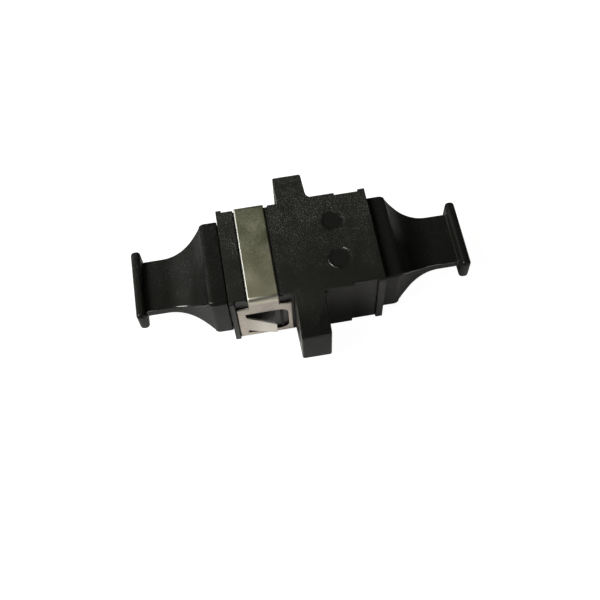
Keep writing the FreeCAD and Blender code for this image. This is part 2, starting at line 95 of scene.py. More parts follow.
class Shader:
    """A new node material, with short ways to add nodes and join them."""

    def __init__(self, name: str) -> None:
        """Starts the material with a Principled shader.

        Args:
            name: the material's name.
        """
        self.material = bpy.data.materials.new(name)
        self.material.use_nodes = True
        self.tree = self.material.node_tree
        self.surface = self.tree.nodes["Principled BSDF"]
        self.place = self.add("ShaderNodeTexCoord").outputs["Object"]

    def add(self, kind: str, **settings: object) -> bpy.types.Node:
        """Adds a node.

        Args:
            kind: the node's type.
            settings: properties of the node, or values of its input sockets with _ for a space.

        Returns:
            The node.
        """
        node = self.tree.nodes.new(kind)
        for key, value in settings.items():
            if hasattr(node, key):
                setattr(node, key, value)
            else:
                node.inputs[key.replace("_", " ")].default_value = value
        return node

    def join(self, source: Socket, target: Socket) -> None:
        """Links an output to an input."""
        self.tree.links.new(source, target)

    def finish(self, **sockets: object) -> None:
        """Sets constants on the Principled shader's own sockets, with _ for a space."""
        for key, value in sockets.items():
            self.surface.inputs[key.replace("_", " ")].default_value = value

    def noise(self, size: float, detail: float = 2.0, stretch: Vector | None = None) -> Socket:
        """Noise whose lumps are about one size across.

        Args:
            size: metres across a lump.
            detail: how many finer layers it has.
            stretch: how much longer the lumps are along each axis.

        Returns:
            The noise value, about 0.5 on average.
        """
        scale = Vector((1, 1, 1)) if stretch is None else Vector(1 / part for part in stretch)
        mapping = self.add("ShaderNodeMapping", Scale=scale / size)
        texture = self.add("ShaderNodeTexNoise", Scale=1.0, Detail=detail)
        self.join(self.place, mapping.inputs["Vector"])
        self.join(mapping.outputs["Vector"], texture.inputs["Vector"])
        return texture.outputs["Fac"]

    def ramp(self, value: Socket, low: float, high: float,
             from_low: float = 0.0, from_high: float = 1.0) -> Socket:
        """The value stretched to a new range and held inside it.

        Args:
            value: what is mapped.
            low: result at from_low.
            high: result at from_high.
            from_low: value that gives low.
            from_high: value that gives high.

        Returns:
            The mapped value.
        """
        node = self.add("ShaderNodeMapRange", From_Min=from_low, From_Max=from_high,
                        To_Min=low, To_Max=high)
        self.join(value, node.inputs["Value"])
        return node.outputs["Result"]

    def blend(self, share: Socket, first: Colour | Socket, second: Colour | Socket) -> Socket:
        """A colour between two, each a colour or a socket.

        Args:
            share: 0 for the first colour and 1 for the second.
            first: the colour at 0.
            second: the colour at 1.

        Returns:
            The mixed colour.
        """
        node = self.add("ShaderNodeMix", data_type="RGBA")
        self.join(share, node.inputs["Factor"])
        for name, colour in (("A", first), ("B", second)):
            socket = next(s for s in node.inputs if s.name == name and s.type == "RGBA")
            if isinstance(colour, Socket):
                self.join(colour, socket)
            else:
                socket.default_value = (*colour, 1.0)
        return next(s for s in node.outputs if s.type == "RGBA")

    def along(self, axis: Along) -> Socket:
        """The place along one axis of the frame.

        Args:
            axis: which axis.

        Returns:
            Metres from the origin.
        """
        node = self.add("ShaderNodeSeparateXYZ")
        self.join(self.place, node.inputs["Vector"])
        return node.outputs[axis.value]

    def reckon(self, operation: str, *values: Socket) -> Socket:
        """One sum on one or two values.

        Args:
            operation: the sum's name.
            values: what it is done on.

        Returns:
            The result.
        """
        node = self.add("ShaderNodeMath", operation=operation)
        for value, socket in zip(values, node.inputs):
            self.join(value, socket)
        return node.outputs["Value"]

    def product(self, first: Socket, second: Socket) -> Socket:
        """One value times another."""
        return self.reckon("MULTIPLY", first, second)

    def total(self, first: Socket, second: Socket) -> Socket:
        """One value plus another."""
        return self.reckon("ADD", first, second)

    def distance(self, axis: tuple[float, float]) -> Socket:
        """How far a place is from an upright axis.

        Args:
            axis: X and Y of the axis.

        Returns:
            The distance in metres.
        """
        level = self.add("ShaderNodeVectorMath", operation="MULTIPLY")
        level.inputs[1].default_value = (1, 1, 0)
        self.join(self.place, level.inputs[0])
        apart = self.add("ShaderNodeVectorMath", operation="DISTANCE")
        apart.inputs[1].default_value = (*axis, 0)
        self.join(level.outputs["Vector"], apart.inputs[0])
        return apart.outputs["Value"]

    def size_of(self, value: Socket) -> Socket:
        """The value without its sign."""
        return self.reckon("ABSOLUTE", value)

    def mean(self, first: Socket, second: Socket) -> Socket:
        """The value halfway between two.

        Args:
            first: one value.
            second: the other value.

        Returns:
            Their mean.
        """
        node = self.add("ShaderNodeMix", data_type="FLOAT")
        node.inputs["Factor"].default_value = 0.5
        self.join(first, node.inputs["A"])
        self.join(second, node.inputs["B"])
        return node.outputs["Result"]

    def bump(self, height: Socket, depth: float) -> Socket:
        """Relief of a real depth.

        Args:
            height: 0 to 1 over the depth.
            depth: metres from the lowest to the highest.

        Returns:
            The normals.
        """
        node = self.add("ShaderNodeBump", Distance=depth)
        self.join(height, node.inputs["Height"])
        return node.outputs["Normal"]


@dataclass(frozen=True)
class BlackMoulding:
    """Injection-moulded black plastic: a spark-eroded grain, crisp in patches, worn smooth in others,
    its pale specks partly painted sparkle.

    The grain is crisper toward the far side (crisp_), the near ear is glossier (calm_) but for its end
    face (end_), and the marks are smoother and darker (spot_), their darker colour painted shade in the
    recess.
    """

    name: str
    dark: Colour = (0.0035, 0.0035, 0.003)
    # Colour of the specks: the grain's own, partly painted sparkle.
    speck_and_sparkle: Colour = (0.082, 0.082, 0.070)
    gloss: float = 0.72
    grain: float = 0.175 * MM
    grain_depth: float = 0.09 * MM
    speck_from: float = 0.56
    speck_to: float = 0.69
    patch: float = 2.4 * MM
    patch_detail: float = 3.0
    smooth: float = 0.40
    rough: float = 0.50
    crisp_from: float = -6 * MM
    crisp_to: float = 7 * MM
    crisp_gain: float = 0.34
    crisp_least: float = 0.15
    crisp_start: float = 0.25
    crisp_full: float = 0.78
    calm_from: float = -7.2 * MM
    calm_to: float = -9.2 * MM
    calm_share: float = 0.7
    end_from: float = -10.95 * MM
    end_to: float = -11.05 * MM
    end_rough: float = 0.32
    # Spots at the marks: smoother, and darker with painted shade of the recess.
    shaded_marks: tuple[tuple[float, float], ...] = ()
    spot_radius: float = 1.42 * MM
    spot_edge: float = 0.3 * MM
    spot_ragged: float = 0.7 * MM
    mark_shade_colour: Colour = (0.001, 0.001, 0.001)

    def painted_light_and_speck(self, shader: Shader) -> Socket:
        """How far a place is from the marks' spots of painted shade, with ragged edges.

        Args:
            shader: the material under work.

        Returns:
            0 on a spot and 1 away from all of them.
        """
        ragged = shader.ramp(shader.noise(self.spot_ragged), -self.spot_ragged, self.spot_ragged)
        clear = None
        for spot in self.shaded_marks:
            reach = shader.total(shader.distance(spot), ragged)
            inner = self.spot_radius - self.spot_edge
            outside = shader.ramp(reach, 0.0, 1.0, inner, self.spot_radius)
            clear = outside if clear is None else shader.product(clear, outside)
        return clear

    def material(self) -> bpy.types.Material:
        """Builds the finish.

        Returns:
            The material.
        """
        shader = Shader(self.name)
        shader.finish(Specular_IOR_Level=self.gloss)
        grain = shader.noise(self.grain)
        patch = shader.noise(self.patch, self.patch_detail)
        across = shader.along(Along.Y)
        shift = shader.ramp(across, -self.crisp_gain, self.crisp_gain, self.crisp_from, self.crisp_to)
        crisp = shader.ramp(shader.total(patch, shift), self.crisp_least, 1.0,
                            self.crisp_start, self.crisp_full)
        colour: Colour | Socket = self.dark
        # Painted shade at the marks: a darker colour and no specks there.
        if self.shaded_marks:
            clear = self.painted_light_and_speck(shader)
            crisp = shader.product(crisp, clear)
            colour = shader.blend(clear, self.mark_shade_colour, self.dark)
        # Pale specks of the grain, partly painted sparkle, stronger toward the far side.
        speck = shader.product(shader.ramp(grain, 0.0, 1.0, self.speck_from, self.speck_to), crisp)
        shader.join(shader.blend(speck, colour, self.speck_and_sparkle), shader.surface.inputs["Base Color"])
        calm = shader.ramp(across, self.calm_share, 1.0, self.calm_to, self.calm_from)
        ends = shader.ramp(across, self.end_rough, 0.0, self.end_to, self.end_from)
        uneven = shader.ramp(crisp, self.smooth, self.rough, self.crisp_least, 1.0)
        rough = shader.total(shader.product(uneven, calm), ends)
        shader.join(rough, shader.surface.inputs["Roughness"])
        relief = shader.bump(shader.product(grain, crisp), self.grain_depth)
        shader.join(relief, shader.surface.inputs["Normal"])
        return shader.material


@dataclass(frozen=True)
class RolledSteel:
    """Spring steel off the roll: faint lines along the strip, cloudy patches, mottle and pale specks.

    The strap grows paler toward its near fold (sheen_), a painted reflection; the folds are rougher and
    darker (fold_), the darker colour being painted shade; and the side plates (side_) and the fingers
    that stand out from them (finger_) have warmer tones of their own, painted reflection of the paper.
    """

    name: str
    tone: Colour = (0.44, 0.44, 0.345)
    bright: Colour = (0.82, 0.81, 0.65)
    # Colour of the strap's painted sheen toward its near fold, and of its specks.
    painted_light_and_speck: Colour = (0.96, 0.91, 0.75)
    # The side plates' warmer tones and the fingers' paler one are painted reflection of the paper.
    side: Colour = (0.58, 0.52, 0.46)
    side_bright: Colour = (0.74, 0.67, 0.61)
    finger_painted_light: Colour = (0.92, 0.87, 0.80)
    finger_from: float = 6.4 * MM
    finger_to: float = 6.9 * MM
    smooth: float = 0.26
    rough: float = 0.40
    fold_rough: float = 0.55
    # Darker colour across the start of a fold: painted shade.
    fold_shade: Colour = (0.26, 0.25, 0.21)
    sheen_from: float = 1.0 * MM
    sheen_to: float = -6.3 * MM
    fold_start: float = 5.9 * MM
    fold_full: float = 6.2 * MM
    fold_end: float = 6.36 * MM
    fold_low: float = 8.2 * MM
    fold_high: float = 8.9 * MM
    line: float = 0.05 * MM
    line_depth: float = 0.004 * MM
    line_stretch: float = 30.0
    mottle: float = 0.24 * MM
    mottle_from: float = 0.35
    mottle_to: float = 0.65
    speck: float = 0.3 * MM
    speck_detail: float = 3.0
    speck_from: float = 0.57
    speck_to: float = 0.70
    speck_share: float = 0.8
    cloud: float = 2.2 * MM
    cloud_from: float = 0.2
    cloud_to: float = 0.8

    def material(self) -> bpy.types.Material:
        """Builds the finish.

        Returns:
            The material.
        """
        shader = Shader(self.name)
        shader.finish(Metallic=1.0)
        stretch = Vector((1, 1, 1))
        stretch[Along.Y.value] = self.line_stretch
        lines = shader.noise(self.line, stretch=stretch)
        cloud = shader.ramp(shader.noise(self.cloud), 0.0, 1.0, self.cloud_from, self.cloud_to)
        mottle = shader.ramp(shader.noise(self.mottle), 0.0, 1.0, self.mottle_from, self.mottle_to)
        across = shader.along(Along.Y)
        away = shader.size_of(across)
        outward = shader.product(shader.ramp(away, 0.0, 1.0, self.fold_start, self.fold_full),
                                 shader.ramp(away, 1.0, 0.0, self.fold_full, self.fold_end))
        above = shader.ramp(shader.along(Along.Z), 0.0, 1.0, self.fold_low, self.fold_high)
        fold = shader.product(outward, above)
        cloudy = shader.mean(cloud, mottle)
        # Painted reflection: the strap grows paler toward its near fold.
        strap = shader.blend(shader.ramp(across, 1.0, 0.0, self.sheen_to, self.sheen_from),
                             shader.blend(cloudy, self.tone, self.bright), self.painted_light_and_speck)
        specks = shader.ramp(shader.noise(self.speck, self.speck_detail), 0.0, self.speck_share,
                             self.speck_from, self.speck_to)
        strap = shader.blend(specks, strap, self.painted_light_and_speck)
        # Painted shade across the fold, which is also rougher.
        strap = shader.blend(fold, strap, self.fold_shade)
        # Side plates and fingers: painted reflection, in tones of their own.
        plate = shader.blend(shader.ramp(away, 0.0, 1.0, self.finger_from, self.finger_to),
                             shader.blend(cloudy, self.side, self.side_bright), self.finger_painted_light)
        shader.join(shader.blend(above, plate, strap), shader.surface.inputs["Base Color"])
        rough = shader.total(shader.ramp(cloud, self.smooth, self.rough),
                             shader.ramp(fold, 0.0, self.fold_rough - self.rough))
        shader.join(rough, shader.surface.inputs["Roughness"])
        shader.join(shader.bump(lines, self.line_depth), shader.surface.inputs["Normal"])
        return shader.material


@dataclass(frozen=True)
class StudioPaper:
    """Plain white paper, which may glow, as on a light table, and may darken toward the near side with
    painted shade.
    """

    name: str
    colour: Colour
    glow: float = 0.0
    front_shade_colour: Colour | None = None
    front_shade_from: float = -8 * MM
    front_shade_to: float = -18 * MM

    def material(self) -> bpy.types.Material:
        """Builds the finish.

        Returns:
            The material.
        """
        shader = Shader(self.name)
        shader.finish(Base_Color=(*self.colour, 1.0), Roughness=1.0, Specular_IOR_Level=0.0,
                      Emission_Color=(1.0, 1.0, 1.0, 1.0), Emission_Strength=self.glow)
        # Painted shade: the paper darkens toward the near side.
        if self.front_shade_colour is not None:
            front = shader.ramp(shader.along(Along.Y), 1.0, 0.0, self.front_shade_to, self.front_shade_from)
            colour = shader.blend(front, self.colour, self.front_shade_colour)
            shader.join(colour, shader.surface.inputs["Base Color"])
        return shader.material


def no_edge(edge: bmesh.types.BMEdge) -> bool:
    """Picks no edge at all."""
    return False


def round_edges(work: bmesh.types.BMesh, edges: list[bmesh.types.BMEdge], radius: float, steps: int,
                finish: int = 0) -> None:
    """Rounds some edges of a mesh to one radius.

    Args:
        work: the mesh to change.
        edges: the edges to round.
        radius: metres.
        steps: how many faces lie across the rounding.
        finish: which of the mesh's materials the rounding gets.
    """
    bmesh.ops.bevel(work, geom=edges, offset=radius, offset_type="OFFSET", segments=steps,
                    profile=ARC_PROFILE, affect="EDGES", clamp_overlap=False, material=finish)


@dataclass(frozen=True)
class EdgeRounding:
    """The small radius that a mould or a press leaves on every edge, and a wider one on chosen edges."""

    radius: float
    segments: int = 2
    left_sharp: EdgeTest = no_edge
    widened: EdgeTest = no_edge
    wide_radius: float = 0.0
    wide_segments: int = 5
    least_angle: float = math.radians(25)
    flat_angle: float = math.radians(0.2)

    def apply(self, mesh: bpy.types.Mesh, finish: int) -> None:
        """Rounds the mesh's edges and shades it smooth but for what stays sharp.

        Args:
            mesh: the mesh to change.
            finish: the mesh's material for the rounded edges.
        """
        work = bmesh.new()
        work.from_mesh(mesh)
        bmesh.ops.remove_doubles(work, verts=work.verts, dist=WELD)
        bmesh.ops.dissolve_limit(work, angle_limit=self.flat_angle, verts=work.verts, edges=work.edges)
        wide = [edge for edge in work.edges if self.widened(edge)]
        if wide:
            round_edges(work, wide, self.wide_radius, self.wide_segments)
        sharp = [edge for edge in work.edges if edge.is_manifold and
                 edge.calc_face_angle(0.0) > self.least_angle and not self.left_sharp(edge)]
        round_edges(work, sharp, self.radius, self.segments, finish)
        bmesh.ops.remove_doubles(work, verts=work.verts, dist=WELD)
        bmesh.ops.recalc_face_normals(work, faces=work.faces)
        for face in work.faces:
            face.smooth = True
        work.to_mesh(mesh)
        work.free()
        mesh.set_sharp_from_angle(angle=CREASE)


@dataclass
class RefinedSolid:
    """One solid of the frame, copied so that its edges can be rounded and its finish put on."""

    node: str
    body: Body
    slot: Slot
    rounding: EdgeRounding

    def build(self, *finishes: bpy.types.Material) -> bpy.types.Object:
        """Copies the frame's solid, refines the copy and lets it stand for the solid.

        Args:
            finishes: the finish of the faces and, where the edges differ, of the edges.

        Returns:
            The piece.
        """
        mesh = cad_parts[self.node].data.copy()
        mesh.name = self.node + "_finished"
        if mesh.has_custom_normals:
            mesh.attributes.remove(mesh.attributes["custom_normal"])
        mesh.materials.clear()
        for finish in finishes:
            mesh.materials.append(finish)
        self.rounding.apply(mesh, len(finishes) - 1)
        piece = bpy.data.objects.new(self.node + "_finished", mesh)
        bpy.context.scene.collection.objects.link(piece)
        weighted = piece.modifiers.new("even_shading", "WEIGHTED_NORMAL")
        weighted.keep_sharp = True
        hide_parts(self.node)
        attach(piece, self.body.value)
        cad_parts[self.node].data.materials[0] = finishes[0]
        return piece


def added_piece(name: str, work: bmesh.types.BMesh, body: Body, finish: bpy.types.Material
                ) -> bpy.types.Object:
    """Turns finished mesh work into a piece of its own.

    Args:
        name: the piece's name.
        work: its mesh, which is used up.
        body: the body that it rides on.
        finish: its material.

    Returns:
        The piece.
    """
    for face in work.faces:
        face.smooth = True
    mesh = bpy.data.meshes.new(name)
    work.to_mesh(mesh)
    work.free()
    mesh.set_sharp_from_angle(angle=CREASE)
    mesh.materials.append(finish)
    piece = bpy.data.objects.new(name, mesh)
    bpy.context.scene.collection.objects.link(piece)
    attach(piece, body.value)
    return piece


@dataclass(frozen=True)
class LipArc:
    """One arc of a mark's lip: middle and reach each way, in degrees, and share of the full height.

    At 0 degrees it points toward the front port, and at 90 toward the far side.
    """

    middle: float
    reach: float
    share: float


@dataclass
class Housing:
    """The two black halves that meet at the flange, the marks on top of one, and the wall ribs.

    Each mark has a dish as its floor, and the near one a lip, pale with painted highlight. The edges at
    root_ end the fillet between an ear and the wall.
    """

    edge_radius: float = 0.1 * MM
    edge_steps: int = 3
    top: float = 9.3 * MM
    seam: float = 0.2 * MM
    root_half_height: float = 4.35 * MM
    root_start: float = 1.9 * MM
    root_from: float = 6.1 * MM
    root_to: float = 7.2 * MM
    mark_radius: float = 1.4 * MM
    mark_from_middle: float = 4.455 * MM
    mark_from_axis: float = 2.55 * MM
    mark_steps: int = 96
    dish_depth: float = 0.03 * MM
    dish_wall: float = 0.6 * MM
    dish_overlap: float = 0.16 * MM
    dish_rings: int = 24
    lip_width: float = 0.21 * MM
    lip_height: float = 0.10 * MM
    lip_base: float = 0.02 * MM
    # The lip stands only in the two arcs where the highlights fall.
    lip_arcs: tuple[LipArc, ...] = (LipArc(214, 40, 1.0), LipArc(50, 20, 0.9))
    lip_steps: int = 8
    rib_from: float = -3.30 * MM
    rib_to: float = -2.97 * MM
    rib_low: float = 1.6 * MM
    rib_high: float = 5.9 * MM
    rib_stand: float = 0.2 * MM
    rib_edge: float = 0.06 * MM
    rib_edge_steps: int = 3
    wall: float = 6.05 * MM

    def halves(self, *finishes: bpy.types.Material) -> list[bpy.types.Object]:
        """Both mouldings, rounded everywhere but where left_sharp says.

        Args:
            finishes: the finish of the faces, then that of the edges.

        Returns:
            The rear half and the front half.
        """
        rounding = EdgeRounding(self.edge_radius, self.edge_steps, self.left_sharp)
        return [RefinedSolid(node, Body.HOUSING, Slot.HOUSING, rounding).build(*finishes)
                for node in ("rear_housing", "front_housing")]

    def left_sharp(self, edge: bmesh.types.BMEdge) -> bool:
        """Whether an edge lies in the plane of the weld, or ends the fillet at an ear's root.

        Args:
            edge: an edge of a half.

        Returns:
            True where the edge stays sharp.
        """
        places = [end.co for end in edge.verts]
        welded = all(abs(place.x - self.seam) < NEAR for place in places)
        root = all(abs(place.z - self.top / 2) > self.root_half_height and place.x > self.root_start and
                   self.root_from < abs(place.y) < self.root_to for place in places)
        return welded or root

    def mark_dish(self, name: str, across: float, finish: bpy.types.Material) -> bpy.types.Object:
        """The shallow floor of a mark, which rises softly to the housing's top.

        Args:
            name: the piece's name.
            across: Y of the mark's middle.
            finish: its material.

        Returns:
            The piece.
        """
        work = bmesh.new()
        edge = self.mark_radius + self.dish_overlap
        middle = work.verts.new((0, 0, -self.dish_depth))
        spokes = []
        for turn_step in range(self.mark_steps):
            turn = math.tau * turn_step / self.mark_steps
            spoke = []
            for ring in range(1, self.dish_rings + 1):
                reach = edge * ring / self.dish_rings
                share = max((reach - edge + self.dish_wall) / self.dish_wall, 0.0)
                rise = -self.dish_depth * (0.5 + 0.5 * math.cos(math.pi * share))
                spoke.append(work.verts.new((reach * math.cos(turn), reach * math.sin(turn), rise)))
            spokes.append(spoke)
        for spoke, following in zip(spokes, spokes[1:] + spokes[:1]):
            work.faces.new((middle, spoke[0], following[0]))
            for ring in range(self.dish_rings - 1):
                work.faces.new((spoke[ring], spoke[ring + 1], following[ring + 1], following[ring]))
        bmesh.ops.translate(work, verts=work.verts, vec=(self.mark_from_middle, across, self.top))
        return added_piece(name, work, Body.HOUSING, finish)

    def mark_lip(self, name: str, across: float, finish: bpy.types.Material) -> bpy.types.Object:
        """A thin lip in two arcs of a mark's rim, where the highlights fall, pale with painted
        highlight.

        Args:
            name: the piece's name.
            across: Y of the mark's middle.
            finish: its material.

        Returns:
            The piece.
        """
        work = bmesh.new()
        for arc in self.lip_arcs:
            rings = []
            for turn_step in range(self.mark_steps // 2 + 1):
                off = 4 * turn_step / self.mark_steps - 1
                turn = math.radians(arc.middle + arc.reach * off)
                height = self.lip_base + self.lip_height * arc.share * math.cos(math.pi / 2 * off)
                ring = []
                for step in range(self.lip_steps + 1):
                    swing = math.pi * (1 - step / self.lip_steps)
                    reach = self.mark_radius + self.lip_width / 2 * math.cos(swing)
                    rise = height * math.sin(swing) - 2 * self.lip_base
                    ring.append(work.verts.new((reach * math.cos(turn), reach * math.sin(turn), rise)))
                rings.append(ring)
            for ring, following in zip(rings, rings[1:]):
                for step in range(self.lip_steps):
                    work.faces.new((ring[step], ring[step + 1], following[step + 1], following[step]))
        bmesh.ops.translate(work, verts=work.verts, vec=(self.mark_from_middle, across, self.top))
        return added_piece(name, work, Body.HOUSING, finish)

    def wall_rib(self, name: str, side: int, finish: bpy.types.Material) -> bpy.types.Object:
        """The upright rib on a side wall that shows through the clip's window.

        Args:
            name: the piece's name.
            side: -1 for the near wall and 1 for the far one.
            finish: its material.

        Returns:
            The piece.
        """
        work = bmesh.new()
        bmesh.ops.create_cube(work, size=1.0)
        size = (self.rib_to - self.rib_from, 2 * self.rib_stand, self.rib_high - self.rib_low)
        middle = ((self.rib_from + self.rib_to) / 2, side * self.wall,
                  (self.rib_low + self.rib_high) / 2)
        bmesh.ops.scale(work, verts=work.verts, vec=size)
        round_edges(work, work.edges[:], self.rib_edge, self.rib_edge_steps)
        bmesh.ops.translate(work, verts=work.verts, vec=middle)
        return added_piece(name, work, Body.HOUSING, finish)

    def build(self) -> list[bpy.types.Object]:
        """Builds and dresses the housing.

        Returns:
            Its pieces.
        """
        marks = tuple((self.mark_from_middle, side * self.mark_from_axis) for side in (-1, 1))
        grained = BlackMoulding("grained_black_plastic", shaded_marks=marks).material()
        burnished = BlackMoulding("burnished_black_plastic", dark=(0.004, 0.004, 0.0037),
                                  speck_and_sparkle=(0.012, 0.012, 0.011), gloss=0.2, grain_depth=0.01 * MM,
                                  smooth=0.4, rough=0.5).material()
        # Pale colour of the lip: painted highlight.
        lip_highlight = BlackMoulding("lip_painted_highlight", dark=(0.05, 0.05, 0.048), speck_and_sparkle=(0.16, 0.16, 0.15),
                              gloss=1.0, grain_depth=0.01 * MM, smooth=0.2, rough=0.3).material()
        edges = BlackMoulding("speckled_black_edge", dark=(0.001, 0.001, 0.001),
                              speck_and_sparkle=(0.12, 0.12, 0.105), gloss=0.3, smooth=0.5, rough=0.6).material()
        return self.halves(grained, edges) + [
            self.mark_dish("near_mark_dish", -self.mark_from_axis, grained),
            self.mark_lip("near_mark_highlight_lip", -self.mark_from_axis, lip_highlight),
            self.mark_dish("far_mark_dish", self.mark_from_axis, grained),
            self.wall_rib("near_wall_rib", -1, burnished),
            self.wall_rib("far_wall_rib", 1, burnished),
        ]


@dataclass
class LatchHooks:
    """The two hook pieces inside, back to back."""

    edge_radius: float = 0.05 * MM
    edge_steps: int = 2

    def build(self) -> list[bpy.types.Object]:
        """Builds and dresses both hook pieces.

        Returns:
            Its pieces.
        """
        finish = BlackMoulding("hook_black_plastic", dark=(0.012, 0.012, 0.012), speck_and_sparkle=(0.05, 0.05, 0.05),
                               gloss=0.45, grain=0.2 * MM, grain_depth=0.02 * MM, smooth=0.25,
                               rough=0.4).material()
        rounding = EdgeRounding(self.edge_radius, self.edge_steps)
        return [RefinedSolid(node, Body.HOUSING, Slot.HOOKS, rounding).build(finish)
                for node in ("rear_latch_hooks", "front_latch_hooks")]


@dataclass
class PanelClip:
    """The folded steel clip: its strap's rear edge is paler, a sheared edge with a painted highlight,
    and its windows' edges are dark with painted shadow.
    """

    edge_radius: float = 0.14 * MM
    edge_steps: int = 3
    strap_rear: float = -6.83 * MM
    strap_low: float = 8.6 * MM
    window_rear: float = -7.4 * MM
    window_front: float = -2.3 * MM
    window_low: float = 1.0 * MM
    window_high: float = 6.6 * MM
    plate_outside: float = 6.36 * MM
    edge_slant: float = 0.8

    def finish_edges(self, mesh: bpy.types.Mesh) -> None:
        """Gives each face the finish of the steel, of the strap's rear edge with its painted highlight,
        or of the windows' edges with their painted shadow.

        Args:
            mesh: the clip's mesh, to be changed.
        """
        for face in mesh.polygons:
            # The strap's rear edge: a sheared edge, paler as a painted highlight.
            on_strap_edge = (abs(face.center.x - self.strap_rear) < self.edge_radius and
                             face.center.z > self.strap_low)
            in_window = (self.window_rear < face.center.x < self.window_front and
                         self.window_low < face.center.z < self.window_high and
                         abs(face.center.y) < self.plate_outside and
                         abs(face.normal.y) < self.edge_slant)
            # The windows' edges get painted shadow.
            finish = ClipFinish.WINDOW_SHADOW if in_window else ClipFinish.STEEL
            face.material_index = (ClipFinish.SHEARED_GLINT if on_strap_edge else finish).value

    def build(self) -> list[bpy.types.Object]:
        """Builds and dresses the clip.

        Returns:
            Its pieces.
        """
        steel = RolledSteel("rolled_spring_steel").material()
        # Paler steel for the strap's rear edge: sheared, and partly a painted highlight.
        sheared_glint = RolledSteel("sheared_edge_glint", tone=(0.80, 0.79, 0.75), bright=(0.92, 0.91, 0.88),
                              painted_light_and_speck=(0.92, 0.91, 0.88), fold_shade=(0.5, 0.48, 0.42), smooth=0.6,
                              rough=0.75, fold_rough=0.75).material()
        # Dark steel for the windows' edges: painted shadow.
        window_shadow = RolledSteel("window_edge_painted_shadow", side=(0.07, 0.05, 0.045),
                                side_bright=(0.12, 0.09, 0.08), finger_painted_light=(0.12, 0.09, 0.08),
                                smooth=0.5, rough=0.6).material()
        rounding = EdgeRounding(self.edge_radius, self.edge_steps)
        solid = RefinedSolid("panel_clip", Body.HOUSING, Slot.CLIP, rounding)
        clip = solid.build(steel, sheared_glint, window_shadow)
        self.finish_edges(clip.data)
        return [clip]


@dataclass
class DustCap:
    """A pull-off cap: hollow plug, block, flare, thin handle and cross bar.

    The block runs from block_start to block_end. Its inner face is moved toward the housing by
    toward_housing, and its outer end is drawn in by end_inset at the sides and end_inset_height above
    and below. The finishes are that of the faces and that of the rounded edges.

    Known fault: edge_radius is wider than the 0.13 mm rim that the block has round the plug, so the
    inner face crosses itself and closes the plug's hollow short of its floor.
    """

    node: str
    body: Body
    toward_housing: float
    finishes: tuple[bpy.types.Material, bpy.types.Material]
    edge_radius: float = 0.16 * MM
    edge_steps: int = 3
    block_start: float = 9.115 * MM
    block_end: float = 11.195 * MM
    block_side: float = 5.55 * MM
    block_radius: float = 0.4 * MM
    block_steps: int = 5
    block_middle: float = 4.65 * MM
    block_half_height: float = 3.75 * MM
    end_inset: float = 0.22 * MM
    end_inset_height: float = 0.11 * MM
    end_power: float = 2.5
    fade_power: float = 2.0
    end_length: float = 0.65 * MM
    end_fade: float = 1.2 * MM
    end_steps: int = 6

    def left_sharp(self, edge: bmesh.types.BMEdge) -> bool:
        """Whether an edge lies where the block runs into the flare, which stays one soft corner."""
        return all(abs(abs(end.co.x) - self.block_end) < 2 * NEAR for end in edge.verts)

    def along_block(self, edge: bmesh.types.BMEdge) -> bool:
        """Whether an edge is one of the block's four long corners, which are rounder than the rest.

        Args:
            edge: an edge of the cap.

        Returns:
            True for a long corner.
        """
        first, second = (end.co for end in edge.verts)
        run = first - second
        return (abs(abs(first.y) - self.block_side) < NEAR and run.yz.length < NEAR and
                abs(run.x) > self.block_radius)

    def seat(self, mesh: bpy.types.Mesh) -> None:
        """Moves the block's inner face a hair toward the housing.

        Args:
            mesh: the cap's mesh, to be changed.
        """
        for corner in mesh.vertices:
            if abs(abs(corner.co.x) - self.block_start) < self.edge_radius / 2:
                corner.co.x -= math.copysign(self.toward_housing, corner.co.x)

    def soften_end(self, mesh: bpy.types.Mesh) -> None:
        """Draws the block's outer end in, so that it runs into the flare over a rounded corner.

        Args:
            mesh: the cap's mesh, to be changed.
        """
        work = bmesh.new()
        work.from_mesh(mesh)
        side = math.copysign(1, mesh.vertices[0].co.x)
        for step in range(self.end_steps):
            place = self.block_end - self.end_length * (1 - step / self.end_steps)
            bmesh.ops.bisect_plane(work, geom=work.verts[:] + work.edges[:] + work.faces[:], dist=WELD,
                                   plane_co=(side * place, 0, 0), plane_no=(1, 0, 0))
        for corner in work.verts:
            past = abs(corner.co.x) - self.block_end
            if past < 0:
                share = max(past / self.end_length + 1, 0.0) ** self.end_power
            else:
                share = max(1 - past / self.end_fade, 0.0) ** self.fade_power
            corner.co.y *= 1 - share * self.end_inset / self.block_side
            above = corner.co.z - self.block_middle
            corner.co.z -= above * share * self.end_inset_height / self.block_half_height
        work.to_mesh(mesh)
        work.free()

    def build(self) -> list[bpy.types.Object]:
        """Builds and dresses the cap.

        Returns:
            Its pieces.
        """
        rounding = EdgeRounding(self.edge_radius, self.edge_steps, self.left_sharp, self.along_block,
                                self.block_radius, self.block_steps)
        cap = RefinedSolid(self.node, self.body, Slot.CAP, rounding).build(*self.finishes)
        self.seat(cap.data)
        self.soften_end(cap.data)
        for face in cap.data.polygons:
            # Plug and block have no polished edges.
            if abs(face.center.x) < self.block_end + 2 * self.edge_radius:
                face.material_index = 0
        return [cap]


